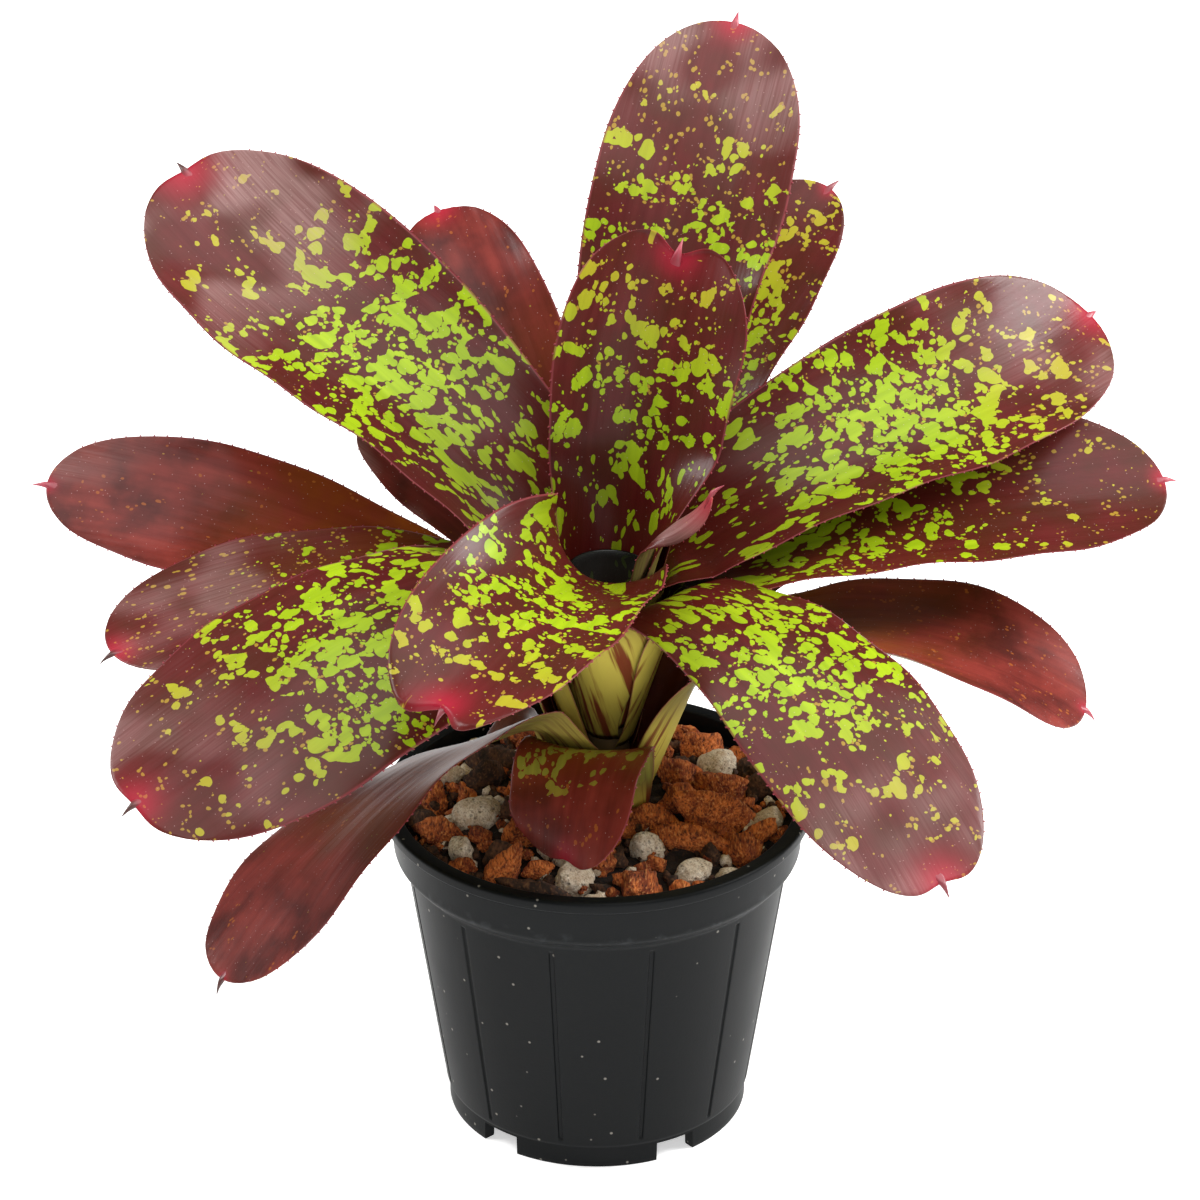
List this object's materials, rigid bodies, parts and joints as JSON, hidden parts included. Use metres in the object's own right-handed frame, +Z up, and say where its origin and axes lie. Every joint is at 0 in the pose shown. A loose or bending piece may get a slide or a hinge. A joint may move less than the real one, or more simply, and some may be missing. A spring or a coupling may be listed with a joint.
{
  "type": "potted neoregelia bromeliad",
  "caption": "Potted bromeliad: a flat rosette of broad, spotted, spine-tipped leaves round a water-holding cup, in a tapered plastic nursery pot with a chunky bark and pumice mix.",
  "frame": {"origin": "point on the surface the pot stands on, in the middle of the part's extent, which is on the pot's own axis to within 3 mm", "axes": "+Z up along the pot's axis, -Y the front shown in the picture, +X to its right"},
  "size_m": [0.3366, 0.2268, 0.3029],
  "materials": {
    "spotted_leaf": "waxy satin, maroon with lime spots",
    "old_leaf": "waxy satin, red-brown",
    "stem": "matt",
    "potting_mix": "rough",
    "pot": "satin charcoal",
    "water": "clear, tea-coloured"
  },
  "bodies": {
    "root": {"leaf_hanging_front": "old_leaf", "leaf_drooping_front_left": "old_leaf", "leaf_old_right": "old_leaf", "leaf_low_back_right": "old_leaf", "leaf_old_left": "old_leaf", "leaf_low_back": "old_leaf", "leaf_narrow_left": "old_leaf", "leaf_middle_left": "spotted_leaf", "leaf_back_left": "old_leaf", "leaf_back_right": "spotted_leaf", "leaf_lower_right": "spotted_leaf", "leaf_large_front_left": "spotted_leaf", "leaf_large_front_right": "spotted_leaf", "leaf_large_upper_left": "spotted_leaf", "leaf_large_right": "spotted_leaf", "leaf_tall_back": "spotted_leaf", "leaf_cup_front": "spotted_leaf", "leaf_cup_back": "spotted_leaf", "leaf_young_rolled": "spotted_leaf", "stem": "stem", "potting_mix": "potting_mix", "pot": "pot", "tank_water": "water"}
  },
  "joints": []
}
